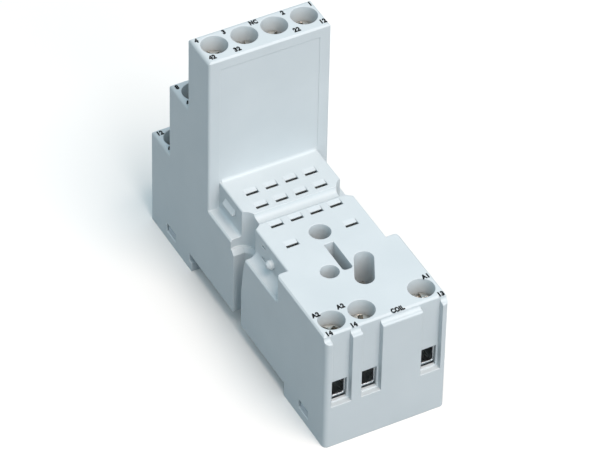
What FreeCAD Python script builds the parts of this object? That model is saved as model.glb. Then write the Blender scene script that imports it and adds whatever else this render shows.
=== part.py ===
import FreeCAD
import Part
import math
import os

# Screw-terminal socket for a plug-in relay with four changeover contacts, clipped on a 35 mm rail.
# Millimetres. X runs across the width, +Y towards the stepped contact tower, +Z up from the base.
# The origin is the middle of the base. The socket is the same left and right, apart from the coil end.

# Outer form of the moulded housing
width = 27.0
length = 75.0
tower_height = 61.0
middle_height = 42.8
lower_height = 24.2
deck_height = 29.2
tower_depth = 8.7
middle_depth = 8.3
lower_depth = 8.1
front_block_length = 20.9
core_width = 22.0
shell_height = 22.4
front_corner_radius = 1.0
tower_top_radius = 0.9
tower_edge_radius = 0.5
block_corner_radius = 1.0
top_edge_bevel = 0.35
core_edge_radius = 0.4
deck_cove = 0.6
side_wall = 1.2
end_wall = 1.7
chamber_wall = 0.9

# Relief on the faces that the wires enter
front_relief = 1.25
front_relief_drop = 1.3
relief_cove = 0.8
relief_edge_radius = 0.4
back_relief = 0.5
back_relief_drop = 0.7
channel_width = 4.4
channel_sill = 0.3
panel_margin = 2.5
panel_depth = 0.05

# Rail recess under the base
rail_width = 35.0
rail_thickness = 1.0
rail_play = 0.2
rear_foot_length = 17.85
front_foot_length = 16.8
rear_ceiling = 4.2
front_ceiling = 3.4
ceiling_step_y = -0.6
hook_lip = 2.2
hook_reach = 1.05

# Screw terminals
tower_screw_inset = 3.95
step_screw_inset = 4.15
coil_screw_inset = 4.9
well_diameter = 5.5
head_diameter = 5.0
head_height = 1.9
head_drop = 3.2
drive_slot_width = 0.8
drive_slot_depth = 0.9
turn_step = 37
half_turn = 180
thread_diameter = 3.0
thread_clearance = 0.05
guide_clearance = 0.08
seat_gap = 0.1
tip_gap = 0.3
ledge_thickness = 1.25
bar_drop = 13.0
bar_thickness = 0.8
bar_width = 2.8
wire_gap = 3.9
cage_width = 5.0
cage_depth = 4.0
coil_cage_depth = 5.4
cage_wall = 0.8
cage_floor = 0.9
cage_roof = 1.6
cage_roof_gap = 0.4
cage_side_clearance = 0.2
cage_end_clearance = 0.3
wire_opening_width = 3.6
wire_opening_drop = 18.2
rear_opening_drop = 17.4

# Contact strips and the forks that grip the relay's pins
strip_thickness = 0.6
strip_clearance = 0.2
run_width = 2.4
run_levels = {"nc": 11.0, "no": 8.8, "com": 6.6}
coil_run_level = 8.8
jog_lead = 3.6
jog_run = 4.3
coil_jog_lead = 4.7
pin_pitch = 4.4
row_offsets = {"nc": 5.62, "no": 9.89, "com": 16.24}
coil_row_offset = 22.71
slot_length = 2.8
slot_width = 0.95
slot_bevel = 1.1
slot_bevel_depth = 0.25
deck_thickness = 0.5
cell_length = 3.4
cell_width = 2.4
leaf_width = 2.6
leaf_thickness = 0.4
leaf_gap = 0.6
leaf_pinch = 0.15
leaf_flare = 0.2
leaf_lip = 1.2
leaf_head_gap = 0.6
cavity_roof = 12.6
cavity_gap = 0.1

# Deck details
valley_offset = 11.45
valley_length = 3.1
valley_floor_length = 0.6
valley_depth = 1.2
panel_hole_diameter = 4.5
panel_hole_offset = 21.8
peg_hole_diameter = 3.9
peg_hole_x = -3.73
peg_hole_inset = 17.1
peg_hole_depth = 6.0
blade_slit_width = 2.2
blade_slit_x = -0.1
blade_slit_inset = 16.1
blade_slit_length = 8.3
blade_slit_depth = 12.0
blade_slit_round = 0.7
module_hole_diameter = 4.0
module_hole_x = 4.07
module_hole_inset = 17.47
module_hole_slant_x = -2.47
module_hole_slant_y = -4.84
module_tab_top = 21.3
module_tab_width = 2.0
module_tab_inset = 0.47

# Side details of the middle part
groove_radius = 3.1
groove_depth = 2.0
groove_offset = 12.6
groove_shelf = 20.2
groove_floor = 19.3
groove_slope = 0.75
slit_width = 3.45
slit_offset = 12.8
slit_depth = 3.6
rear_lip_offset = 10.2
front_lip_offset = 16.0
front_lip_foot = 13.2
front_cove = 1.8
rear_cove = 0.7
lug_offset = 2.6
lug_length = 4.3
lug_drop = 2.1
lug_height = 1.2
lug_reach = 0.8
peg_offset = 22.7
peg_drop = 3.45
peg_diameter = 2.1
peg_reach = 1.4
peg_bevel = 0.6
nick_offset = 19.05
nick_length = 1.4
nick_height = 0.45
nick_depth = 0.9
nick_drops = (2.0, 5.1)

# Base cover, its snap hooks and the sprung rail latch
cover_clearance = 0.1
cover_floor = 1.6
cover_top = 5.5
cover_front_top = 4.4
cover_step = 1.5
hook_inset = 8.7
window_length = 3.9
window_bottom = 2.3
window_top = 4.3
window_sill = 0.3
hook_arm = 1.2
hook_play = 0.1
hook_gap = 0.6
hook_slope = 0.5
latch_width = 10.0
latch_flange = 1.6
latch_flange_height = 1.0
latch_bottom = 0.3
latch_play = 0.15
latch_grip = 0.9
latch_travel = 2.6
latch_nose = 1.6
latch_edge = 0.4
latch_slot_length = 4.5
latch_slot_width = 1.2
latch_slot_inset = 3.6
latch_slot_roof = 0.6
latch_stop_wall = 1.2
spring_gap = 4.4
spring_width = 2.2
spring_height = 1.4
spring_strip = 0.5
spring_spread = 3.2
spring_folds = 5
spring_end_gap = 0.05

# Places that follow from the sizes above
half_width = width / 2
half_core = core_width / 2
chamber_width = cage_width + 2 * cage_side_clearance
terminal_pitch = (half_width - chamber_wall - chamber_width / 2) / 1.5
inner_half = half_width - side_wall
back_face = length / 2
front_face = -length / 2
deck_front = front_face + front_relief
front_block_back = front_face + front_block_length
lower_front = back_face - lower_depth
tower_back = lower_front - middle_depth
tower_front = tower_back - tower_depth
rear_foot_end = back_face - rear_foot_length
front_foot_end = front_face + front_foot_length
hook_end = rear_foot_end + hook_reach
rail_front_edge = hook_end - rail_play - rail_width
wall_behind_slit = half_width - slit_depth
cage_rise = wire_gap - seat_gap
leaf_top = deck_height - deck_thickness - leaf_head_gap
pin_rows = {name: tower_front - offset for name, offset in row_offsets.items()}
coil_pin_row = tower_front - coil_row_offset
coil_y = front_face + coil_screw_inset
coil_strip_start = coil_y + coil_cage_depth / 2 + cage_end_clearance + strip_thickness
coil_jog = (coil_strip_start + coil_jog_lead, coil_pin_row - coil_jog_lead)
panel_hole_y = tower_front - panel_hole_offset
module_hole_back = (module_hole_x, front_face + module_hole_inset)
module_hole_front = (
    module_hole_x + module_hole_slant_x, front_face + module_hole_inset + module_hole_slant_y
)
rear_lip_y = tower_front - rear_lip_offset
front_lip_y = tower_front - front_lip_offset
slit_y = tower_front - slit_offset
slit_back = slit_y + slit_width / 2
slit_front = slit_y - slit_width / 2
latch_stop = front_face + end_wall + latch_stop_wall
latch_back = latch_stop + spring_gap


def block(x_range, y_range, z_range):
    """Rectangular solid between pairs of limits, given in either order."""
    low = FreeCAD.Vector(min(x_range), min(y_range), min(z_range))
    high = FreeCAD.Vector(max(x_range), max(y_range), max(z_range))
    size = high - low
    return Part.makeBox(size.x, size.y, size.z, low)


def around(centre, size):
    """Limits of a size centred on a place."""
    return (centre - size / 2, centre + size / 2)


def rod(x, y, z_range, diameter):
    """Upright cylinder."""
    foot = FreeCAD.Vector(x, y, min(z_range))
    return Part.makeCylinder(diameter / 2, max(z_range) - min(z_range), foot)


def side_prism(outline, x_range):
    """Outline of (y, z) points carried along X."""
    points = [FreeCAD.Vector(min(x_range), y, z) for y, z in outline]
    face = Part.Face(Part.makePolygon(points + points[:1]))
    return face.extrude(FreeCAD.Vector(max(x_range) - min(x_range), 0, 0))


def plan_prism(outline, z_range):
    """Outline of (x, y) points carried along Z."""
    points = [FreeCAD.Vector(x, y, min(z_range)) for x, y in outline]
    face = Part.Face(Part.makePolygon(points + points[:1]))
    return face.extrude(FreeCAD.Vector(0, 0, max(z_range) - min(z_range)))


def end_prism(outline, y_range):
    """Outline of (x, z) points carried along Y."""
    points = [FreeCAD.Vector(x, min(y_range), z) for x, z in outline]
    face = Part.Face(Part.makePolygon(points + points[:1]))
    return face.extrude(FreeCAD.Vector(0, max(y_range) - min(y_range), 0))


def both_sides(shape):
    """The shape and its mirror image across the middle plane X = 0."""
    return [shape, shape.mirror(FreeCAD.Vector(0, 0, 0), FreeCAD.Vector(1, 0, 0))]


def joined(shapes):
    """One clean solid from shapes that touch or overlap."""
    return shapes[0].multiFuse(shapes[1:]).removeSplitter()


def rounded(shape, radius, wanted):
    """Rounds each straight edge whose middle point passes the test."""
    edges = [edge for edge in shape.Edges if wanted(edge.CenterOfMass)]
    return shape.makeFillet(radius, edges)


def corner_cut(x, y, radius, z_range):
    """What is cut off to round an outward upright corner at +X: towards +Y with a positive radius."""
    size = abs(radius)
    square = block((x - size, x), (y - radius, y), z_range)
    return square.cut(rod(x - size, y - radius, z_range, 2 * size))


def bevelled(shape, size, wanted):
    """Bevels each edge whose middle point passes the test."""
    edges = [edge for edge in shape.Edges if wanted(edge.CenterOfMass)]
    return shape.makeChamfer(size, edges)


def near(value, place):
    """True where two places are the same within a hundredth."""
    return abs(value - place) < 0.01


def terminal_places():
    """Name, place of the screw axis, top face and wire side (+1 back, -1 front) of each terminal."""
    places = []
    levels = (
        ("nc", tower_back - tower_screw_inset, tower_height),
        ("no", lower_front - step_screw_inset, middle_height),
        ("com", back_face - step_screw_inset, lower_height),
    )
    for level, y, top in levels:
        for pole in (1, 2, 3, 4):
            places.append((f"{level}_{pole}", (2.5 - pole) * terminal_pitch, y, top, 1))
    for name, columns in (("a1", 1.5), ("a2", -1.5), ("a2_link", -0.5)):
        places.append((name, columns * terminal_pitch, coil_y, deck_height, -1))
    return places


def pin_places():
    """Column and row of every pin slot in the deck."""
    places = []
    for row in pin_rows.values():
        places += [((2.5 - pole) * pin_pitch, row) for pole in (1, 2, 3, 4)]
    places += [(side * 1.5 * pin_pitch, coil_pin_row) for side in (-1, 1)]
    return places


def cage_end_offset(side):
    """Distance along Y from a screw's axis to the end of its cage."""
    return (cage_depth if side > 0 else coil_cage_depth) / 2


def chamber_y_limits(y, side):
    """Limits along Y of the chamber that a cage slides in, with room for its contact strip."""
    cage_end = cage_end_offset(side) + cage_end_clearance
    return (y + side * cage_end, y - side * (cage_end + strip_thickness + strip_clearance))


def chamber_roof(top):
    """Underside of the ledge that a screw head bears on."""
    return top - head_drop - head_height - seat_gap - ledge_thickness


def tower_body():
    """Tower and its two steps, each with the edges of its top rounded."""
    blocks = []
    levels = (
        (tower_front, tower_back, tower_height),
        (tower_front, lower_front, middle_height),
        (tower_front, back_face, lower_height),
    )
    for front, back, height in levels:
        level = block((-half_width, half_width), (front, back), (0, height))
        level = rounded(
            level, tower_top_radius, lambda c, f=front, h=height: near(c.z, h) and not near(c.y, f)
        )
        blocks.append(level)
    return blocks


def front_body():
    """Coil end: a block with a raised front that carries the wire channels."""
    body = block((-half_width, half_width), (deck_front, front_block_back), (0, deck_height))
    body = bevelled(
        body, top_edge_bevel, lambda c: near(c.z, deck_height) and not near(c.y, front_block_back)
    )
    relief_top = deck_height - front_relief_drop
    raised = block(
        (-half_width, half_width), (front_face, deck_front + front_relief), (0, relief_top)
    )
    raised = rounded(
        raised, relief_edge_radius, lambda c: near(c.z, relief_top) and near(c.y, front_face)
    )
    both = joined([body, raised, cross_cove(deck_front, relief_top, relief_cove, half_width)])
    envelope = block(
        (-half_width, half_width), (front_face, front_block_back), (0, deck_height)
    )
    envelope = rounded(
        envelope, front_corner_radius, lambda c: near(c.y, front_face) and near(c.z, deck_height / 2)
    )
    return both.common(envelope)


def middle_body():
    """Narrow core under the pin slots, between the lower outer shells at each side."""
    core = block((-half_core, half_core), (front_block_back, tower_front), (0, deck_height))
    core = rounded(
        core, core_edge_radius, lambda c: near(c.z, deck_height) and near(abs(c.x), half_core)
    )
    rear_shell = side_prism(
        (
            (tower_front, 0),
            (tower_front, shell_height),
            (rear_lip_y, shell_height),
            (rear_lip_y, groove_shelf),
            (slit_back, groove_floor),
            (slit_back, 0),
        ),
        (half_core, half_width),
    )
    front_shell = side_prism(
        (
            (front_block_back, 0),
            (front_block_back, shell_height),
            (front_lip_y, shell_height),
            ((front_lip_y + slit_front) / 2, groove_floor),
            (slit_front, front_lip_foot),
            (slit_front, 0),
        ),
        (half_core, half_width),
    )
    shells = []
    for shell in (rear_shell, front_shell):
        eased = bevelled(
            shell, top_edge_bevel, lambda c: near(c.z, shell_height) and near(c.x, half_width)
        )
        shells += both_sides(eased)
    return [core] + shells


def cove(y_range, radius):
    """Concave blend between the outer shell's top and the core wall."""
    filler = block(
        (half_core, half_core + radius), y_range, (shell_height, shell_height + radius)
    )
    hollow = Part.makeCylinder(
        radius,
        abs(y_range[1] - y_range[0]),
        FreeCAD.Vector(half_core + radius, min(y_range), shell_height + radius),
        FreeCAD.Vector(0, 1, 0),
    )
    return filler.cut(hollow)


def cross_cove(wall_y, level, radius, half_length):
    """Concave blend along X between a level face and the upright wall behind it."""
    y, z = wall_y - radius, level + radius
    filler = block((-half_length, half_length), (y, wall_y), (level, z))
    hollow = Part.makeCylinder(
        radius, 2 * half_length, FreeCAD.Vector(-half_length, y, z), FreeCAD.Vector(1, 0, 0)
    )
    return filler.cut(hollow)


def side_lug():
    """Wedge that a retaining clip snaps over."""
    top = deck_height - lug_drop
    root = half_core - lug_reach
    return end_prism(
        (
            (root, top - lug_height),
            (half_core + lug_reach, top - lug_height),
            (half_core, top),
            (root, top),
        ),
        (tower_front - lug_offset, tower_front - lug_offset - lug_length),
    )


def side_peg():
    """Round peg with a bevelled end on the core wall."""
    peg = Part.makeCylinder(
        peg_diameter / 2,
        2 * peg_reach,
        FreeCAD.Vector(half_core - peg_reach, tower_front - peg_offset, deck_height - peg_drop),
        FreeCAD.Vector(1, 0, 0),
    )
    return bevelled(peg, peg_bevel, lambda c: near(c.x, half_core + peg_reach))


def outer_form():
    """The whole outside of the housing, before anything is cut into it."""
    deck_blend = cross_cove(tower_front, deck_height, deck_cove, half_core - core_edge_radius)
    pieces = tower_body() + middle_body() + [front_body(), deck_blend]
    additions = [
        cove((front_block_back, front_lip_y), front_cove),
        cove((rear_lip_y, tower_front), rear_cove),
        side_lug(),
        side_peg(),
    ]
    for addition in additions:
        pieces += both_sides(addition)
    return joined(pieces)


def rail_recess():
    """Space for the rail: flat ceiling, undercut behind the fixed hook of the rear foot."""
    return side_prism(
        (
            (rear_foot_end, -1),
            (rear_foot_end, hook_lip),
            (hook_end, hook_lip),
            (hook_end, rear_ceiling),
            (ceiling_step_y, rear_ceiling),
            (ceiling_step_y, front_ceiling),
            (front_foot_end, front_ceiling),
            (front_foot_end, -1),
        ),
        (-half_width - 1, half_width + 1),
    )


def wire_channel(x, side, wall_face, relief, top, sill):
    """Shallow channel that guides a wire to its opening."""
    return block(
        around(x, channel_width), (wall_face - side * relief, wall_face + side), (sill, top)
    )


def terminal_cuts():
    """Well, screw hole, chamber, wire opening and wire channel of every terminal."""
    cuts = []
    wall_faces = {
        tower_height: tower_back, middle_height: lower_front, lower_height: back_face
    }
    floors = {
        tower_height: cavity_roof - 1, middle_height: cavity_roof - 1, lower_height: cover_floor
    }
    for _name, x, y, top, side in terminal_places():
        ledge_top = top - head_drop - head_height - seat_gap
        cuts.append(rod(x, y, (ledge_top, top + 1), well_diameter))
        guide = thread_diameter - 2 * thread_clearance + 2 * guide_clearance
        cuts.append(rod(x, y, (chamber_roof(top) - 1, ledge_top), guide))
        floor = floors.get(top, cover_front_top)
        cuts.append(
            block(around(x, chamber_width), chamber_y_limits(y, side), (floor, chamber_roof(top)))
        )
        wall = wall_faces.get(top, front_face)
        drop = rear_opening_drop if side > 0 else wire_opening_drop
        opening = (top - drop, top - bar_drop)
        cuts.append(block(around(x, wire_opening_width), (y, wall + side), opening))
        relief = back_relief if side > 0 else front_relief
        channel_top = top - back_relief_drop if side > 0 else top + 1
        cuts.append(
            wire_channel(x, side, wall, relief, channel_top, opening[0] - channel_sill)
        )
    return cuts


def pin_cuts():
    """Slot with its bevelled lead-in, and the cell for the fork below it."""
    cuts = []
    cell_top = deck_height - deck_thickness
    for x, y in pin_places():
        cuts.append(
            block(around(x, slot_length), around(y, slot_width), (cell_top - 1, deck_height + 1))
        )
        back = y + slot_width / 2
        bevel = (
            (back - 0.1, deck_height - slot_bevel_depth),
            (back, deck_height - slot_bevel_depth),
            (back + slot_bevel, deck_height),
            (back + slot_bevel, deck_height + 1),
            (back - 0.1, deck_height + 1),
        )
        cuts.append(side_prism(bevel, around(x, slot_length)))
        cuts.append(
            block(around(x, cell_length), around(y, cell_width), (cavity_roof - 1, cell_top))
        )
    return cuts


def deck_cuts():
    """Valley, mounting hole, peg hole, blade slit and the slanted module hole in the deck."""
    over = deck_height + 1
    back = tower_front - valley_offset
    front = back - valley_length
    slope = valley_length - valley_depth - valley_floor_length
    valley_ends = (-half_core - 1, half_core + 1)
    valley = side_prism(
        (
            (back - valley_depth, over),
            (back - valley_depth, deck_height - valley_depth),
            (front + slope, deck_height - valley_depth),
            (front, deck_height),
            (front, over),
        ),
        valley_ends,
    )
    valley_round = Part.makeCylinder(
        valley_depth,
        valley_ends[1] - valley_ends[0],
        FreeCAD.Vector(valley_ends[0], back - valley_depth, deck_height),
        FreeCAD.Vector(1, 0, 0),
    )
    hole = rod(0, panel_hole_y, (front_ceiling - 1, over), panel_hole_diameter)
    peg_hole = rod(
        peg_hole_x, front_face + peg_hole_inset, (deck_height - peg_hole_depth, over), peg_hole_diameter
    )
    slit_end = front_face + blade_slit_inset
    slit_floor = deck_height - blade_slit_depth
    slit = block(
        around(blade_slit_x, blade_slit_width),
        (slit_end, slit_end + blade_slit_length),
        (slit_floor, over),
    )
    slit = rounded(
        slit, blade_slit_round, lambda c: near(c.y, slit_end) and near(c.z, (slit_floor + over) / 2)
    )
    return [valley, valley_round, hole, peg_hole, slit, module_hole((cavity_roof - 1, over))]


def module_hole(z_range):
    """Long hole with round ends, slanted in plan."""
    bx, by = module_hole_back
    fx, fy = module_hole_front
    radius = module_hole_diameter / 2
    run = math.hypot(bx - fx, by - fy)
    across = (radius * (by - fy) / run, -radius * (bx - fx) / run)
    corners = (
        (bx + across[0], by + across[1]),
        (bx - across[0], by - across[1]),
        (fx - across[0], fy - across[1]),
        (fx + across[0], fy + across[1]),
    )
    middle = plan_prism(corners, z_range)
    ends = [rod(x, y, z_range, module_hole_diameter) for x, y in (module_hole_back, module_hole_front)]
    return middle.multiFuse(ends)


def side_cuts():
    """Half-round grooves, the slits between the shells, nicks and the windows for the cover's hooks."""
    groove_x = half_core - groove_depth + groove_radius
    groove_y = tower_front - groove_offset
    groove = rod(groove_x, groove_y, (groove_shelf, deck_height + 1), 2 * groove_radius)
    slit_x = wall_behind_slit + slit_width / 2
    shelf = Part.makeCone(
        slit_width / 2,
        slit_width / 2 + groove_slope,
        groove_shelf - groove_floor,
        FreeCAD.Vector(slit_x, slit_y, groove_floor),
    )
    slit = block((slit_x, half_width + 1), (slit_back, slit_front), (-1, groove_floor))
    slit_end = rod(slit_x, slit_y, (-1, groove_floor), slit_width)
    cuts = []
    for cut in (groove, shelf, slit, slit_end):
        cuts += both_sides(cut)
    for drop in nick_drops:
        nick = block(
            (half_core - nick_depth, half_core + 1),
            around(tower_front - nick_offset, nick_length),
            around(deck_height - drop, nick_height),
        )
        cuts += both_sides(nick)
    for y in (back_face - hook_inset, front_face + hook_inset):
        window = block(
            (inner_half - 1, half_width + 1), around(y, window_length), (window_bottom, window_top)
        )
        sill = end_prism(
            (
                (half_width - window_sill, window_bottom),
                (half_width + 1, window_bottom),
                (half_width + 1, window_bottom - window_sill - 1),
            ),
            around(y, window_length),
        )
        cuts += both_sides(window) + both_sides(sill)
    return cuts


def tower_face_cuts():
    """Shallow panel in the front of the tower, its upright edges and those of the coil end."""
    panel = block(
        (-half_width + panel_margin, half_width - panel_margin),
        (tower_front - 1, tower_front + panel_depth),
        (deck_height + deck_cove, tower_height - panel_margin),
    )
    rim = side_prism(
        (
            (tower_front - 1, tower_height - top_edge_bevel - 1),
            (tower_front - 1, tower_height + 1),
            (tower_front + top_edge_bevel + 1, tower_height + 1),
        ),
        (-half_width, half_width),
    )
    edge = corner_cut(half_width, tower_front, -tower_edge_radius, (shell_height, tower_height))
    corner = corner_cut(
        half_width, front_block_back, block_corner_radius, (shell_height, deck_height)
    )
    return [panel, rim] + both_sides(edge) + both_sides(corner)


def cover_outline(gap):
    """Side outline (y, z) of the base cover, grown by a gap at its top and ends."""
    return (
        (back_face - end_wall + gap, 0),
        (back_face - end_wall + gap, cover_floor + gap),
        (hook_end + cover_step + gap, cover_floor + gap),
        (hook_end + cover_step + gap, cover_top + gap),
        (front_foot_end - cover_step - gap, cover_top + gap),
        (front_foot_end - cover_step - gap, cover_front_top + gap),
        (front_face + end_wall - gap, cover_front_top + gap),
        (front_face + end_wall - gap, 0),
    )


def cover_blank(gap):
    """Cover plate, narrowed where the housing's wall passes inside the side slits."""
    reach = inner_half - cover_clearance + gap
    plate = side_prism(cover_outline(gap), (-reach, reach))
    notch = block(
        (wall_behind_slit - side_wall - cover_clearance + gap, reach + 1),
        (slit_back + side_wall + cover_clearance - gap, slit_front - side_wall - cover_clearance + gap),
        (-1, cover_top + 1),
    )
    for side_notch in both_sides(notch):
        plate = plate.cut(side_notch)
    return plate


def wiring_cuts():
    """Hollows above the base cover that the contact strips run through."""
    step_y = hook_end + cover_step
    back_end = back_face - step_screw_inset - cage_depth / 2 - cage_end_clearance - strip_thickness
    narrow_end = slit_back + side_wall + side_wall
    rear = side_prism(
        (
            (narrow_end, cover_top),
            (step_y, cover_top),
            (step_y, cover_floor),
            (back_end, cover_floor),
            (back_end, cavity_roof),
            (narrow_end, cavity_roof),
        ),
        (-inner_half, inner_half),
    )
    narrow_half = wall_behind_slit - side_wall
    row_end = pin_rows["com"] - cell_width / 2 - cavity_gap
    levels = (cover_top, cavity_roof)
    narrow = block((-narrow_half, narrow_half), (row_end, narrow_end + 1), levels)
    front_end = chamber_y_limits(coil_y, -1)[1]
    coil_back = coil_pin_row + cell_width / 2 + cavity_gap
    inner_side = 1.5 * pin_pitch - cell_length / 2 - cavity_gap
    right = block((inner_side, inner_half), (front_end - 1, coil_back), levels)
    left = block((-inner_half, -inner_side), (front_end - 1, coil_back), levels)
    link_side = -0.5 * terminal_pitch + chamber_width / 2
    link = block((-inner_side - 1, link_side), (front_end - 1, front_end + 2 * run_width), levels)
    bx, by = module_hole_back
    tab_reach = bx - module_tab_width / 2 - 1
    module = block((tab_reach, inner_side + 1), around(by, module_hole_diameter + 1), levels)
    foot = block(
        (-inner_half, inner_half),
        (front_face + end_wall, front_foot_end - cover_step),
        (cover_front_top, cover_top),
    )
    return [rear, narrow, right, left, link, module, foot]


def housing():
    """The one moulded housing."""
    shape = outer_form()
    cuts = [rail_recess(), cover_blank(cover_clearance)]
    cuts += wiring_cuts() + terminal_cuts() + pin_cuts() + deck_cuts() + side_cuts()
    cuts += tower_face_cuts()
    for cut in cuts:
        shape = shape.cut(cut)
    return shape.removeSplitter()


def latch_levels():
    """Top of the latch, just under the rail's brim, and the underside of its flanges."""
    top = front_ceiling - rail_thickness - seat_gap
    return top, top - latch_flange_height


def base_cover():
    """Cover snapped in from below, with the rail recess, the latch's channel and four hooks."""
    cover = cover_blank(0).cut(rail_recess())
    top, flange = latch_levels()
    body_half = latch_width / 2 + latch_play
    flange_half = body_half + latch_flange
    channel = end_prism(
        (
            (-body_half, -1),
            (-body_half, flange - latch_play),
            (-flange_half, flange - latch_play),
            (-flange_half, top + latch_play),
            (flange_half, top + latch_play),
            (flange_half, flange - latch_play),
            (body_half, flange - latch_play),
            (body_half, -1),
        ),
        (latch_stop, front_foot_end + 1),
    )
    cover = cover.cut(channel)
    cover = cover.cut(rod(0, panel_hole_y, (0, cover_top + 1), panel_hole_diameter))
    reach = inner_half - cover_clearance
    tooth_top = window_top - hook_play
    for y in (back_face - hook_inset, front_face + hook_inset):
        ends = (y - window_length / 2 + hook_play, y + window_length / 2 - hook_gap)
        arm = block((reach - hook_arm, reach), ends, (cover_floor - 1, window_top))
        tooth = end_prism(
            (
                (reach - hook_arm, window_bottom + hook_play),
                (half_width - hook_play, window_bottom + hook_play),
                (half_width - hook_play, tooth_top - hook_slope),
                (reach, tooth_top),
                (reach - hook_arm, tooth_top),
            ),
            ends,
        )
        cover = cover.multiFuse(both_sides(arm) + both_sides(tooth))
    return cover.removeSplitter()


def rail_latch():
    """Sliding latch: a flanged tongue whose nose grips under the rail's brim."""
    top, flange = latch_levels()
    tip = rail_front_edge + latch_grip
    tongue = side_prism(
        (
            (latch_back, latch_bottom),
            (latch_back, top),
            (tip, top),
            (tip, top - latch_edge),
            (tip - latch_nose, latch_bottom),
        ),
        (-latch_width / 2, latch_width / 2),
    )
    flange_half = latch_width / 2 + latch_flange
    flanges = block(
        (-flange_half, flange_half), (latch_back, front_foot_end - latch_travel - 1), (flange, top)
    )
    slot = block(
        around(0, latch_slot_length),
        around(latch_back + latch_slot_inset, latch_slot_width),
        (latch_bottom - 1, top - latch_slot_roof),
    )
    return tongue.fuse(flanges).cut(slot).removeSplitter()


def latch_springs():
    """Two folded strip springs between the cover's stop wall and the latch."""
    levels = around((latch_levels()[0] + latch_bottom) / 2, spring_height)
    fold_pitch = (spring_gap - 2 * spring_end_gap) / spring_folds
    springs = []
    for side in (-1, 1):
        path = []
        for fold in range(spring_folds + 1):
            x = side * spring_spread + (fold % 2 - 0.5) * spring_width
            path.append((x, latch_stop + spring_end_gap + fold * fold_pitch))
        outline = [(x - spring_strip / 2, y) for x, y in path]
        outline += [(x + spring_strip / 2, y) for x, y in reversed(path)]
        springs.append(plan_prism(outline, levels))
    return Part.makeCompound(springs)


def terminal_screw(x, y, top, turn):
    """Captive screw with a slotted round head and a plain shank as thick as its thread."""
    head_top = top - head_drop
    underside = head_top - head_height
    head = rod(x, y, (underside, head_top), head_diameter)
    slot_levels = (head_top - drive_slot_depth, head_top + 1)
    slot = block(around(x, head_diameter + 1), around(y, drive_slot_width), slot_levels)
    slot.rotate(FreeCAD.Vector(x, y, 0), FreeCAD.Vector(0, 0, 1), turn)
    tip = top - bar_drop + tip_gap
    shank = rod(x, y, (tip, underside + head_height / 3), thread_diameter - 2 * thread_clearance)
    return head.cut(slot).fuse(shank).removeSplitter()


def clamp_cage(x, y, top, side):
    """Rising cage round the current bar: threaded roof, two sides and a floor that lifts the wire."""
    bar_top = top - bar_drop
    floor_top = bar_top - bar_thickness - wire_gap
    roof_top = bar_top + cage_roof_gap + cage_roof
    depth = 2 * cage_end_offset(side)
    frame = block(around(x, cage_width), around(y, depth), (floor_top - cage_floor, roof_top))
    window = block(
        around(x, cage_width - 2 * cage_wall),
        around(y, depth + 2),
        (floor_top, bar_top + cage_roof_gap),
    )
    thread = rod(x, y, (bar_top, roof_top + 1), thread_diameter)
    return frame.cut(window).cut(thread)


def current_bar(x, y, top, side, run_level):
    """Bar through the cage and the strip that drops from it to the level of its run."""
    bar_top = top - bar_drop
    far = y - side * (cage_end_offset(side) + cage_end_clearance + strip_thickness)
    near_end = y + side * (cage_depth / 2 - strip_clearance)
    bar = block(around(x, bar_width), (far, near_end), (bar_top - bar_thickness, bar_top))
    drop = block(around(x, bar_width), (far, far + side * strip_thickness), (run_level, bar_top))
    return [bar, drop], far


def pin_fork(x, y, run_level):
    """Two sprung leaves, pinched near the top and flared at the mouth, that grip a flat pin."""
    inner = leaf_gap / 2
    pieces = []
    for side in (-1, 1):
        outline = (
            (inner, run_level),
            (inner + leaf_thickness, run_level),
            (inner + leaf_thickness - leaf_pinch, leaf_top - leaf_lip),
            (inner + leaf_thickness + leaf_flare, leaf_top),
            (inner + leaf_flare, leaf_top),
            (inner - leaf_pinch, leaf_top - leaf_lip),
        )
        leaf = [(y + side * offset, z) for offset, z in outline]
        pieces.append(side_prism(leaf, around(x, leaf_width)))
    foot = inner + leaf_thickness
    pieces.append(
        block(around(x, leaf_width), (y - foot, y + foot), (run_level, run_level + strip_thickness))
    )
    return pieces


def strip_run(from_x, from_y, to_x, to_y, jog, run_level):
    """Level run of a strip that moves sideways between the two jog places along Y."""
    half = run_width / 2
    path = ((from_x, from_y), (from_x, jog[0]), (to_x, jog[1]), (to_x, to_y))
    outline = [(x - half, y) for x, y in path] + [(x + half, y) for x, y in reversed(path)]
    return plan_prism(outline, (run_level, run_level + strip_thickness))


def contact_strip(level, pole, x, y, top):
    """One switching contact, from its terminal's bar to the fork under its pin slot."""
    run_level = run_levels[level]
    pieces, far = current_bar(x, y, top, 1, run_level)
    fork_x = (2.5 - pole) * pin_pitch
    fork_y = pin_rows[level]
    jog_start = tower_back - tower_screw_inset - jog_lead
    pieces.append(strip_run(x, far, fork_x, fork_y, (jog_start, jog_start - jog_run), run_level))
    pieces += pin_fork(fork_x, fork_y, run_level)
    return joined(pieces)


def coil_strip(terminals, fork_side):
    """Coil contact: one or two terminals on one strip, with the fork under its pin slot."""
    pieces = []
    for x, y, top in terminals:
        parts, far = current_bar(x, y, top, -1, coil_run_level)
        pieces += parts
    first_x = terminals[0][0]
    last_x = terminals[-1][0]
    low_x = min(first_x, last_x) - run_width / 2
    high_x = max(first_x, last_x) + run_width / 2
    level = (coil_run_level, coil_run_level + strip_thickness)
    pieces.append(block((low_x, high_x), (far - strip_thickness, far + run_width), level))
    fork_x = fork_side * 1.5 * pin_pitch
    pieces.append(strip_run(first_x, far, fork_x, coil_pin_row, coil_jog, coil_run_level))
    pieces += pin_fork(fork_x, coil_pin_row, coil_run_level)
    return pieces


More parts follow.
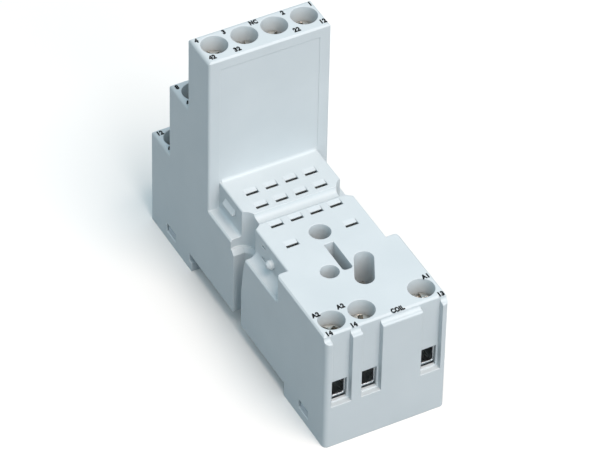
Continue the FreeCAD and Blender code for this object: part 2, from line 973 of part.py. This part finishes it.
def module_tab():
    """Side branch of the first coil strip that stands up inside the module hole."""
    x, y = module_hole_back
    back = y + module_hole_diameter / 2 - module_tab_inset
    start, end = coil_jog
    share = min(max((back - run_width / 2 - start) / (end - start), 0), 1)
    strip_x = 1.5 * (terminal_pitch + (pin_pitch - terminal_pitch) * share)
    level = (coil_run_level, coil_run_level + strip_thickness)
    lug = block((x - module_tab_width / 2, strip_x), (back - run_width, back), level)
    tab = block(
        around(x, module_tab_width), (back - strip_thickness, back), (coil_run_level, module_tab_top)
    )
    return [lug, tab]


def build():
    """Every piece of the socket by name."""
    nodes = {
        "housing": housing(),
        "base_cover": base_cover(),
        "rail_latch": rail_latch(),
        "latch_springs": latch_springs(),
    }
    coil = {}
    for index, (name, x, y, top, side) in enumerate(terminal_places()):
        nodes[f"screw_{name}"] = terminal_screw(x, y, top, index * turn_step % half_turn)
        nodes[f"cage_{name}"] = clamp_cage(x, y, top, side)
        level, _, pole = name.partition("_")
        if level in run_levels:
            nodes[f"contact_{name}"] = contact_strip(level, int(pole), x, y, top)
        else:
            coil[name] = (x, y, top)
    nodes["contact_a1"] = joined(coil_strip([coil["a1"]], 1) + module_tab())
    nodes["contact_a2"] = joined(coil_strip([coil["a2"], coil["a2_link"]], -1))
    return nodes


os.makedirs("parts", exist_ok=True)
for node, shape in build().items():
    shape.exportStep(f"parts/{node}.step")
    print(node, "solids", len(shape.Solids), "volume", round(shape.Volume, 2), "valid", shape.isValid())
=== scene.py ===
import math

import bmesh
import bpy
from mathutils import Matrix, Vector


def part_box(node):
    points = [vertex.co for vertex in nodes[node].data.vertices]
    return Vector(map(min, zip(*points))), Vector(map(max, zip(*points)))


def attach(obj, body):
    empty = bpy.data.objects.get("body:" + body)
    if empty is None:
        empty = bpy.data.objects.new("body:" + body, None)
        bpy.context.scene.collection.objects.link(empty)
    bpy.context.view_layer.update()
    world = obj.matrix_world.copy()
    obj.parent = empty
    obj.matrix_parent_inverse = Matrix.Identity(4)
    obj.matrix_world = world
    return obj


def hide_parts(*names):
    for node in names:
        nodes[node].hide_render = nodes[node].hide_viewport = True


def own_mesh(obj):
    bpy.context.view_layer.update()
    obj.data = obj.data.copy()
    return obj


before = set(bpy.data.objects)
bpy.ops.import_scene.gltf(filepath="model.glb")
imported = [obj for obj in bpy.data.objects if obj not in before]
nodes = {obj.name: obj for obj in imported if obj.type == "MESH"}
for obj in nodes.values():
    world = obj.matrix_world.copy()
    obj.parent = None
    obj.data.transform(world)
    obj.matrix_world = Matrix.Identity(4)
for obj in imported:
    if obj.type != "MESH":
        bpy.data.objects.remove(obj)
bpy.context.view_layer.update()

# A relay socket for a 35 mm rail: a grey moulded housing with a stepped contact tower, printed
# terminal numbers, steel clamps behind the wire openings and a sprung latch under the front foot.
# Metres, X across the width, +Y towards the tower, Z up, the base on Z = 0.
MM = 0.001

# ---- Viewpoint of the photograph ----
# A long lens looks down on the front left corner. The angles, the focal length in pixels and the
# place of the socket in view come from a fit to its corners, in a picture 600 pixels wide.
view_azimuth = math.radians(-28.818)
view_elevation = math.radians(42.438)
view_roll = math.radians(-1.318)
focal_pixels = 4653.47
picture_width = 600
sensor_width = 36.0
aim_right, aim_up, view_distance = 0.977 * MM, 17.174 * MM, 940.632 * MM

back_axis = Vector((
    math.sin(view_azimuth) * math.cos(view_elevation),
    -math.cos(view_azimuth) * math.cos(view_elevation),
    math.sin(view_elevation),
))
level_axis = Vector((0, 0, 1)).cross(back_axis).normalized()
upright_axis = back_axis.cross(level_axis)
right_axis = math.cos(view_roll) * level_axis - math.sin(view_roll) * upright_axis
up_axis = math.sin(view_roll) * level_axis + math.cos(view_roll) * upright_axis
eye = aim_right * right_axis + aim_up * up_axis + view_distance * back_axis

lens = bpy.data.cameras.new("long_lens")
lens.sensor_width = sensor_width
lens.lens = focal_pixels / picture_width * sensor_width
lens.clip_start = 0.05
lens.clip_end = 20.0
camera = bpy.data.objects.new("camera", lens)
camera.matrix_world = Matrix.Translation(eye) @ Matrix(
    (right_axis, up_axis, back_axis)
).transposed().to_4x4()
bpy.context.scene.collection.objects.link(camera)
bpy.context.scene.camera = camera


# ---- Housing ----
# One injection moulding in light grey polyamide. The mould's fine spark finish leaves a matt face
# with a weak sheen, and its sharp edges look broken by a quarter of a millimetre, with a painted
# highlight that makes them a little paler.
# The spark grain is drawn about twice as coarse as the real one, so that it shows at all.
def linear(hex_colour):
    """An sRGB hex colour as the linear RGBA that shaders take."""
    channels = [int(hex_colour[i:i + 2], 16) / 255 for i in (1, 3, 5)]
    return tuple(c / 12.92 if c <= 0.04045 else ((c + 0.055) / 1.055) ** 2.4 for c in channels) + (1.0,)


def add_node(tree, kind, inputs=None, **settings):
    """Adds a node: settings are its properties, inputs are the constants or sockets that feed it."""
    node = tree.nodes.new(kind)
    for name, value in settings.items():
        setattr(node, name, value)
    for name, value in (inputs or {}).items():
        if isinstance(value, bpy.types.NodeSocket):
            tree.links.new(value, node.inputs[name])
        else:
            node.inputs[name].default_value = value
    return node


def new_material(name):
    """A material with an empty tree that ends in one principled shader."""
    material = bpy.data.materials.new(name)
    material.use_nodes = True
    tree = material.node_tree
    tree.nodes.clear()
    shader = add_node(tree, "ShaderNodeBsdfPrincipled")
    add_node(tree, "ShaderNodeOutputMaterial", {"Surface": shader.outputs[0]})
    return material, tree, shader


def in_material(node_name, material):
    """Gives a node of the frame its finish."""
    piece = nodes[node_name]
    piece.data.materials.clear()
    piece.data.materials.append(material)


grain_size = 0.16 * MM
flow_size = 14 * MM
edge_round = 0.25 * MM
grain_height = 0.01 * MM
grain_strength = 0.25
gloss_spread = 0.06
flow_low, flow_high, flow_tint = 0.3, 0.7, 0.22
# The next values shape a painted highlight: sharp edges are mixed towards the pale colour.
highlight_starts, highlight_full, highlight_tint = 0.995, 0.8, 0.5
polyamide_ior = 1.53


def moulded_polyamide(name, base_hex, pale_hex, roughness):
    """Matt moulded polyamide: faint flow marks in the colour, a fine spark grain, soft edges paled by a
    painted highlight.
    """
    material, tree, shader = new_material(name)
    place = add_node(tree, "ShaderNodeTexCoord").outputs["Object"]
    flow = add_node(tree, "ShaderNodeTexNoise", {"Vector": place, "Scale": 1 / flow_size, "Detail": 3.0})
    grain = add_node(tree, "ShaderNodeTexNoise", {"Vector": place, "Scale": 1 / grain_size})
    soft = add_node(tree, "ShaderNodeBevel", {"Radius": edge_round}, samples=8)
    true = add_node(tree, "ShaderNodeNewGeometry")
    turned = add_node(tree, "ShaderNodeVectorMath", {
        0: soft.outputs[0], 1: true.outputs["True Normal"],
    }, operation="DOT_PRODUCT")
    # Painted highlight mask: how far the rounded normal turns away from the face's own normal.
    edge = add_node(tree, "ShaderNodeMapRange", {
        "Value": turned.outputs["Value"],
        "From Min": highlight_starts, "From Max": highlight_full, "To Min": 0.0, "To Max": highlight_tint,
    })
    tint = add_node(tree, "ShaderNodeMapRange", {
        "Value": flow.outputs[0],
        "From Min": flow_low, "From Max": flow_high, "To Min": 0.0, "To Max": flow_tint,
    })
    base = add_node(tree, "ShaderNodeMix", {
        "Factor": tint.outputs[0], 6: linear(base_hex), 7: linear(pale_hex),
    }, data_type="RGBA")
    # Painted highlight: along the edges the colour is mixed towards the pale one.
    worn = add_node(tree, "ShaderNodeMix", {
        "Factor": edge.outputs[0], 6: base.outputs[2], 7: linear(pale_hex),
    }, data_type="RGBA")
    gloss = add_node(tree, "ShaderNodeMapRange", {
        "Value": grain.outputs[0], "To Min": roughness - gloss_spread, "To Max": roughness + gloss_spread,
    })
    relief = add_node(tree, "ShaderNodeBump", {
        "Height": grain.outputs[0], "Normal": soft.outputs[0],
        "Strength": grain_strength, "Distance": grain_height,
    })
    tree.links.new(worn.outputs[2], shader.inputs["Base Color"])
    tree.links.new(gloss.outputs[0], shader.inputs["Roughness"])
    tree.links.new(relief.outputs[0], shader.inputs["Normal"])
    shader.inputs["IOR"].default_value = polyamide_ior
    return material


housing_plastic = moulded_polyamide("spark_finished_grey_polyamide", "#c2cacd", "#dce1e3", 0.5)
in_material("housing", housing_plastic)

# ---- Base cover ----
# The closing plate under the housing, pressed in with four hooks. It is moulded from the same
# polyamide in a plainer mould, which leaves a flatter and duller face.
cover_plastic = moulded_polyamide("dull_grey_polyamide", "#b4bcc2", "#cbd1d5", 0.58)
in_material("base_cover", cover_plastic)

# ---- Rail latch ----
# A slippery acetal moulding in a darker grey, which slides in the cover's channel. Its polished
# mould leaves it smoother than the housing, so it has a clearer sheen.
latch_plastic = moulded_polyamide("smooth_grey_acetal", "#8f989e", "#abb3b8", 0.38)
in_material("rail_latch", latch_plastic)


# ---- Latch springs ----
# Two strips of rolled spring steel, folded in smooth waves between the cover's stop wall and the
# latch. Each wave keeps to the folds of the solid.
def worked_steel(name, base_hex, dark_hex, roughness, streak_size, edge_radius):
    """Bright worked steel: streaks in colour, gloss and relief along its working, and worn edges."""
    material, tree, shader = new_material(name)
    place = add_node(tree, "ShaderNodeTexCoord").outputs["Object"]
    along = add_node(tree, "ShaderNodeMapping", {"Vector": place, "Scale": (1.0, streak_stretch, 1.0)})
    streak = add_node(tree, "ShaderNodeTexNoise", {
        "Vector": along.outputs[0], "Scale": 1 / streak_size, "Detail": 3.0,
    })
    tone = add_node(tree, "ShaderNodeMix", {
        "Factor": streak.outputs[0], 6: linear(dark_hex), 7: linear(base_hex),
    }, data_type="RGBA")
    gloss = add_node(tree, "ShaderNodeMapRange", {
        "Value": streak.outputs[0], "To Min": roughness - gloss_spread, "To Max": roughness + gloss_spread,
    })
    soft = add_node(tree, "ShaderNodeBevel", {"Radius": edge_radius}, samples=8)
    relief = add_node(tree, "ShaderNodeBump", {
        "Height": streak.outputs[0], "Normal": soft.outputs[0],
        "Strength": streak_strength, "Distance": streak_height,
    })
    tree.links.new(tone.outputs[2], shader.inputs["Base Color"])
    tree.links.new(gloss.outputs[0], shader.inputs["Roughness"])
    tree.links.new(relief.outputs[0], shader.inputs["Normal"])
    shader.inputs["Metallic"].default_value = 1.0
    return material


def new_piece(name, points, faces, material, body):
    """A mesh piece in a material, which rides on a body."""
    mesh = bpy.data.meshes.new(name)
    mesh.from_pydata(points, [], faces)
    mesh.materials.append(material)
    mesh.shade_smooth()
    piece = bpy.data.objects.new(name, mesh)
    bpy.context.scene.collection.objects.link(piece)
    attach(piece, body)
    return piece


sheared_edge = 0.08 * MM
streak_height = 0.006 * MM
streak_strength = 0.2
streak_stretch = 0.12
spring_steel = worked_steel("rolled_spring_steel", "#b9b8b4", "#86857f", 0.34, 0.2 * MM, sheared_edge)
spring_folds = 5
spring_spread = 3.2 * MM
spring_swing = 1.1 * MM
strip_half = 0.13 * MM
strip_edge = 0.04 * MM
wave_steps = 60
spring_low, spring_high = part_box("latch_springs")
spring_length = spring_high[1] - spring_low[1] - 2 * strip_half
strip_section = (
    (-strip_half, spring_low[2] + strip_edge), (-strip_half + strip_edge, spring_low[2]),
    (strip_half - strip_edge, spring_low[2]), (strip_half, spring_low[2] + strip_edge),
    (strip_half, spring_high[2] - strip_edge), (strip_half - strip_edge, spring_high[2]),
    (-strip_half + strip_edge, spring_high[2]), (-strip_half, spring_high[2] - strip_edge),
)
points, faces = [], []
for side in (-1, 1):
    first = len(points)
    for step in range(wave_steps + 1):
        share = step / wave_steps
        phase = math.pi * spring_folds * share
        middle = Vector((
            side * spring_spread - spring_swing * math.cos(phase),
            spring_low[1] + strip_half + spring_length * share,
        ))
        course = Vector((spring_swing * math.pi * spring_folds * math.sin(phase), spring_length))
        across = Vector((course.y, -course.x)).normalized()
        for offset, level in strip_section:
            spot = middle + across * offset
            points.append((spot.x, spot.y, level))
    ring = len(strip_section)
    for step in range(wave_steps):
        for corner in range(ring):
            low = first + step * ring + corner
            next_low = first + step * ring + (corner + 1) % ring
            faces.append((low, next_low, next_low + ring, low + ring))
    faces.append(tuple(range(first + ring - 1, first - 1, -1)))
    faces.append(tuple(range(first + wave_steps * ring, first + (wave_steps + 1) * ring)))
springs = new_piece("folded_latch_springs", points, faces, spring_steel, "base")
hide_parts("latch_springs")
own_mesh(springs)

# ---- Terminal screws ----
# Fifteen nickel plated steel screws, turned, with a rolled thread of 0.5 mm pitch. The head takes a
# blade or a cross-shaped driver, and the cut leaves bright bevelled edges round its four lands.
screw_steel = worked_steel("nickel_plated_turned_steel", "#ebe7e0", "#989188", 0.18, 0.25 * MM, sheared_edge)
head_radius = 2.5 * MM
head_height = 1.9 * MM
head_chamfer = 0.3 * MM
blade_slot = 0.8 * MM
blade_depth = 0.9 * MM
cross_slot = 1.0 * MM
cross_length = 3.6 * MM
cross_depth = 1.2 * MM
land_bevel = 0.28 * MM
shank_length = 7.6 * MM
crest_radius = 1.45 * MM
root_radius = 1.16 * MM
thread_pitch = 0.5 * MM
rows_per_turn = 6
thread_columns = 24
head_columns = 48
turn_step = 37
half_turn = 180
land_segments = 2
crest_share = 1.4
tip_inset = 0.25 * MM
smooth_limit = math.radians(40)


def cutter(size, middle):
    """A block with its middle at a place, for cutting a recess."""
    tool = bmesh.new()
    bmesh.ops.create_cube(tool, size=1.0, matrix=Matrix.Translation(middle) @ Matrix.Diagonal((*size, 1.0)))
    mesh = bpy.data.meshes.new("cutter")
    tool.to_mesh(mesh)
    tool.free()
    block = bpy.data.objects.new("cutter", mesh)
    bpy.context.scene.collection.objects.link(block)
    return block


def ring_mesh(rings, columns):
    """Points and faces of a closed round form from (radius, level) rings, lowest first."""
    points = []
    for radius_at, level in rings:
        for column in range(columns):
            angle = math.tau * column / columns
            radius = radius_at(angle) if callable(radius_at) else radius_at
            points.append((radius * math.cos(angle), radius * math.sin(angle), level))
    faces = []
    for row in range(len(rings) - 1):
        for column in range(columns):
            beside = (column + 1) % columns
            low, high = row * columns, (row + 1) * columns
            faces.append((low + column, low + beside, high + beside, high + column))
    faces.append(tuple(range(columns - 1, -1, -1)))
    faces.append(tuple(range((len(rings) - 1) * columns, len(rings) * columns)))
    return points, faces


head_points, head_faces = ring_mesh((
    (head_radius - head_chamfer / 2, -head_height),
    (head_radius, -head_height + head_chamfer / 2),
    (head_radius, -head_chamfer),
    (head_radius - head_chamfer, 0),
), head_columns)
head_mesh = bpy.data.meshes.new("screw_head")
head_mesh.from_pydata(head_points, [], head_faces)
head = bpy.data.objects.new("screw_head", head_mesh)
bpy.context.scene.collection.objects.link(head)
cutters = (
    cutter((2 * head_radius + MM, blade_slot, 2 * blade_depth), (0, 0, 0)),
    cutter((cross_slot, cross_length, 2 * cross_depth), (0, 0, 0)),
    cutter((cross_length, cross_slot, 2 * cross_depth), (0, 0, 0)),
)
for tool in cutters:
    cut = head.modifiers.new("recess", "BOOLEAN")
    cut.object = tool
    cut.solver = "EXACT"
bevel = head.modifiers.new("broken_edges", "BEVEL")
bevel.width = land_bevel
bevel.segments = land_segments
bevel.limit_method = "ANGLE"
bpy.context.view_layer.update()
cut_head = bpy.data.meshes.new_from_object(head.evaluated_get(bpy.context.evaluated_depsgraph_get()))
for tool in (head, *cutters):
    bpy.data.objects.remove(tool)


def crest_at(level):
    """Radius of the thread round the shank at a level, worn down to a cone at the tip."""
    tip_cone = root_radius - tip_inset + (level + head_height + shank_length)

    def radius(angle):
        phase = (level / thread_pitch - angle / math.tau) % 1.0
        flank = 1 - abs(2 * phase - 1)
        return min(root_radius + (crest_radius - root_radius) * min(crest_share * flank, 1.0), tip_cone)
    return radius


rows = round(shank_length / thread_pitch * rows_per_turn)
shank_rings = [
    (crest_at(level), level)
    for level in (-head_height - shank_length * (1 - row / rows) for row in range(rows + 1))
]
shank_points, shank_faces = ring_mesh(shank_rings, thread_columns)
whole = bmesh.new()
whole.from_mesh(cut_head)
shank_vertices = [whole.verts.new(point) for point in shank_points]
for face in shank_faces:
    whole.faces.new([shank_vertices[i] for i in face])
screw_mesh = bpy.data.meshes.new("terminal_screw")
whole.to_mesh(screw_mesh)
whole.free()
screw_mesh.materials.clear()
screw_mesh.materials.append(screw_steel)
screw_mesh.shade_smooth()
screw_mesh.set_sharp_from_angle(angle=smooth_limit)

# The terminals in the order that sets how far each screw stands turned.
terminals = [f"{level}_{pole}" for level in ("nc", "no", "com") for pole in (1, 2, 3, 4)]
terminals += ["a1", "a2", "a2_link"]
for index, terminal in enumerate(terminals):
    low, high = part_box(f"screw_{terminal}")
    screw = bpy.data.objects.new(f"threaded_screw_{terminal}", screw_mesh)
    screw.location = ((low[0] + high[0]) / 2, (low[1] + high[1]) / 2, high[2])
    screw.rotation_euler.z = math.radians(index * turn_step % half_turn)
    bpy.context.scene.collection.objects.link(screw)
    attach(screw, f"screw_{terminal}")
    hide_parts(f"screw_{terminal}")

# ---- Clamp cages ----
# Folded steel strip with rolled edges, zinc plated: the front edge of each floor catches the light as
# a white bar in the wire opening.
rolled_edge = 0.6 * MM
cage_steel = worked_steel("zinc_plated_folded_steel", "#e2e7ea", "#828b90", 0.28, 0.3 * MM, rolled_edge)
for terminal in terminals:
    in_material(f"cage_{terminal}", cage_steel)

# ---- Contact strips ----
# Stamped copper alloy strip from the terminals to the forks of the pins. Its soft tin plating hides
# the copper's colour and gives a pale satin grey.
strip_alloy = worked_steel("tinned_stamped_copper_alloy", "#cdccc6", "#a2a29d", 0.36, 0.3 * MM, sheared_edge)
for terminal in terminals[:-1]:
    in_material(f"contact_{terminal}", strip_alloy)

# ---- Printed terminal numbers ----
# Pad-printed black ink beside each well, in plain bold capitals 1.2 mm high. The film is a hundredth
# of a millimetre thick and as matt as the plastic.
capital_height = 1.17 * MM
size_to_capital = 1.37
stroke_swell = 0.12 * MM
letter_spacing = 1.12
digit_width = 0.8
letter_width = 0.7
print_film = 0.012 * MM
ink_spot_size = 0.2 * MM
tower_top, middle_top, lower_top, deck_top = 61.0 * MM, 42.8 * MM, 24.2 * MM, 29.2 * MM
print_rows = (
    (tower_top, 19.7, (("4", -12.5), ("3", -6.5), ("NC", 0.0), ("2", 6.5), ("1", 12.6))),
    (tower_top, 13.9, (("42", -11.95), ("32", -6.5), ("22", 6.6), ("12", 12.4))),
    (middle_top, 27.9, (("8", -12.6), ("7", -6.6), ("NO", 0.0), ("6", 6.6), ("5", 12.6))),
    (middle_top, 22.7, (("44", -12.4), ("34", -6.6), ("24", 6.6), ("14", 12.4))),
    (lower_top, 36.0, (("12", -12.4), ("11", -6.6), ("COM", 0.0), ("10", 6.6), ("9", 12.6))),
    (lower_top, 30.9, (("41", -12.4), ("31", -6.6), ("21", 6.6), ("11", 12.4))),
    (deck_top, -30.1, (("A2", -12.0), ("A2", -6.55), ("A1", 12.3))),
    (deck_top, -35.8, (("14", -12.1), ("14", -6.7), ("COIL", 2.9), ("13", 12.5))),
)

ink, ink_tree, ink_shader = new_material("pad_printed_black_ink")
ink_place = add_node(ink_tree, "ShaderNodeTexCoord").outputs["Object"]
ink_spots = add_node(ink_tree, "ShaderNodeTexNoise", {"Vector": ink_place, "Scale": 1 / ink_spot_size})
ink_tone = add_node(ink_tree, "ShaderNodeMix", {
    "Factor": ink_spots.outputs[0], 6: linear("#070809"), 7: linear("#121416"),
}, data_type="RGBA")
ink_gloss = add_node(ink_tree, "ShaderNodeMapRange", {
    "Value": ink_spots.outputs[0], "To Min": 0.6, "To Max": 0.75,
})
ink_relief = add_node(ink_tree, "ShaderNodeBump", {
    "Height": ink_spots.outputs[0], "Strength": 0.1, "Distance": print_film,
})
ink_shader.inputs["Specular IOR Level"].default_value = 0.25
ink_tree.links.new(ink_tone.outputs[2], ink_shader.inputs["Base Color"])
ink_tree.links.new(ink_gloss.outputs[0], ink_shader.inputs["Roughness"])
ink_tree.links.new(ink_relief.outputs[0], ink_shader.inputs["Normal"])

for row, (level, y_mm, words) in enumerate(print_rows):
    for place, (word, x_mm) in enumerate(words):
        text = bpy.data.curves.new(f"print_{row}_{place}", "FONT")
        text.body = word
        text.align_x = "CENTER"
        text.align_y = "CENTER"
        text.size = capital_height * size_to_capital
        text.offset = stroke_swell
        text.space_character = letter_spacing
        text.extrude = print_film / 2
        text.materials.append(ink)
        label = bpy.data.objects.new(f"print_{row}_{place}_{word}", text)
        label.location = (x_mm * MM, y_mm * MM, level + print_film / 2)
        label.scale.x = letter_width if word in ("NC", "NO", "COM", "COIL") else digit_width
        bpy.context.scene.collection.objects.link(label)
        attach(label, "base")

# ---- Floor and studio light ----
# A white paper floor, a large soft lamp high in front, a weaker one lower down, and a cool sky that
# is bright above the horizon and faint below it. The floor takes no part in diffuse bounces, since
# the shaded sides of the real picture get little light from below.
floor_half = 3.0
lamp_size = 0.8
lamp_aim = Vector((0, 0, 0.025))
sky_horizon = 0.02
sky_above = 0.79
sky_below = 0.08
floor_mesh = bpy.data.meshes.new("floor")
floor_mesh.from_pydata(
    [(-floor_half, -floor_half, 0), (floor_half, -floor_half, 0), (floor_half, floor_half, 0),
     (-floor_half, floor_half, 0)], [], [(0, 1, 2, 3)],
)
floor = bpy.data.objects.new("floor", floor_mesh)
floor_paper, floor_tree, floor_shader = new_material("white_paper")
floor_shader.inputs["Base Color"].default_value = linear("#f0eeeb")
floor_shader.inputs["Roughness"].default_value = 0.9
floor_mesh.materials.append(floor_paper)
bpy.context.scene.collection.objects.link(floor)
floor.visible_diffuse = False


def soft_lamp(name, place, watts, hex_colour):
    """A square soft lamp that faces the middle of the socket."""
    light = bpy.data.lights.new(name, "AREA")
    light.shape = "SQUARE"
    light.size = lamp_size
    light.energy = watts
    light.color = linear(hex_colour)[:3]
    lamp = bpy.data.objects.new(name, light)
    lamp.location = place
    lamp.rotation_euler = (lamp_aim - Vector(place)).to_track_quat("-Z", "Y").to_euler()
    bpy.context.scene.collection.objects.link(lamp)


soft_lamp("high_front_lamp", (0.1, -0.7, 1.3), 16.6, "#ffece1")
soft_lamp("low_front_lamp", (0.0, -1.4, 0.6), 6.8, "#f2f8ff")

sky = bpy.data.worlds.new("studio_sky")
sky.use_nodes = True
sky.node_tree.nodes.clear()
way = add_node(sky.node_tree, "ShaderNodeTexCoord").outputs["Generated"]
height = add_node(sky.node_tree, "ShaderNodeSeparateXYZ", {0: way}).outputs["Z"]
level = add_node(sky.node_tree, "ShaderNodeMapRange", {
    "Value": height, "From Min": 0.0, "From Max": sky_horizon, "To Min": sky_below, "To Max": sky_above,
})
glow = add_node(sky.node_tree, "ShaderNodeBackground", {
    "Color": linear("#dcf3ff"), "Strength": level.outputs[0],
})
add_node(sky.node_tree, "ShaderNodeOutputWorld", {"Surface": glow.outputs[0]})
bpy.context.scene.world = sky
bpy.context.scene.view_settings.view_transform = "Standard"
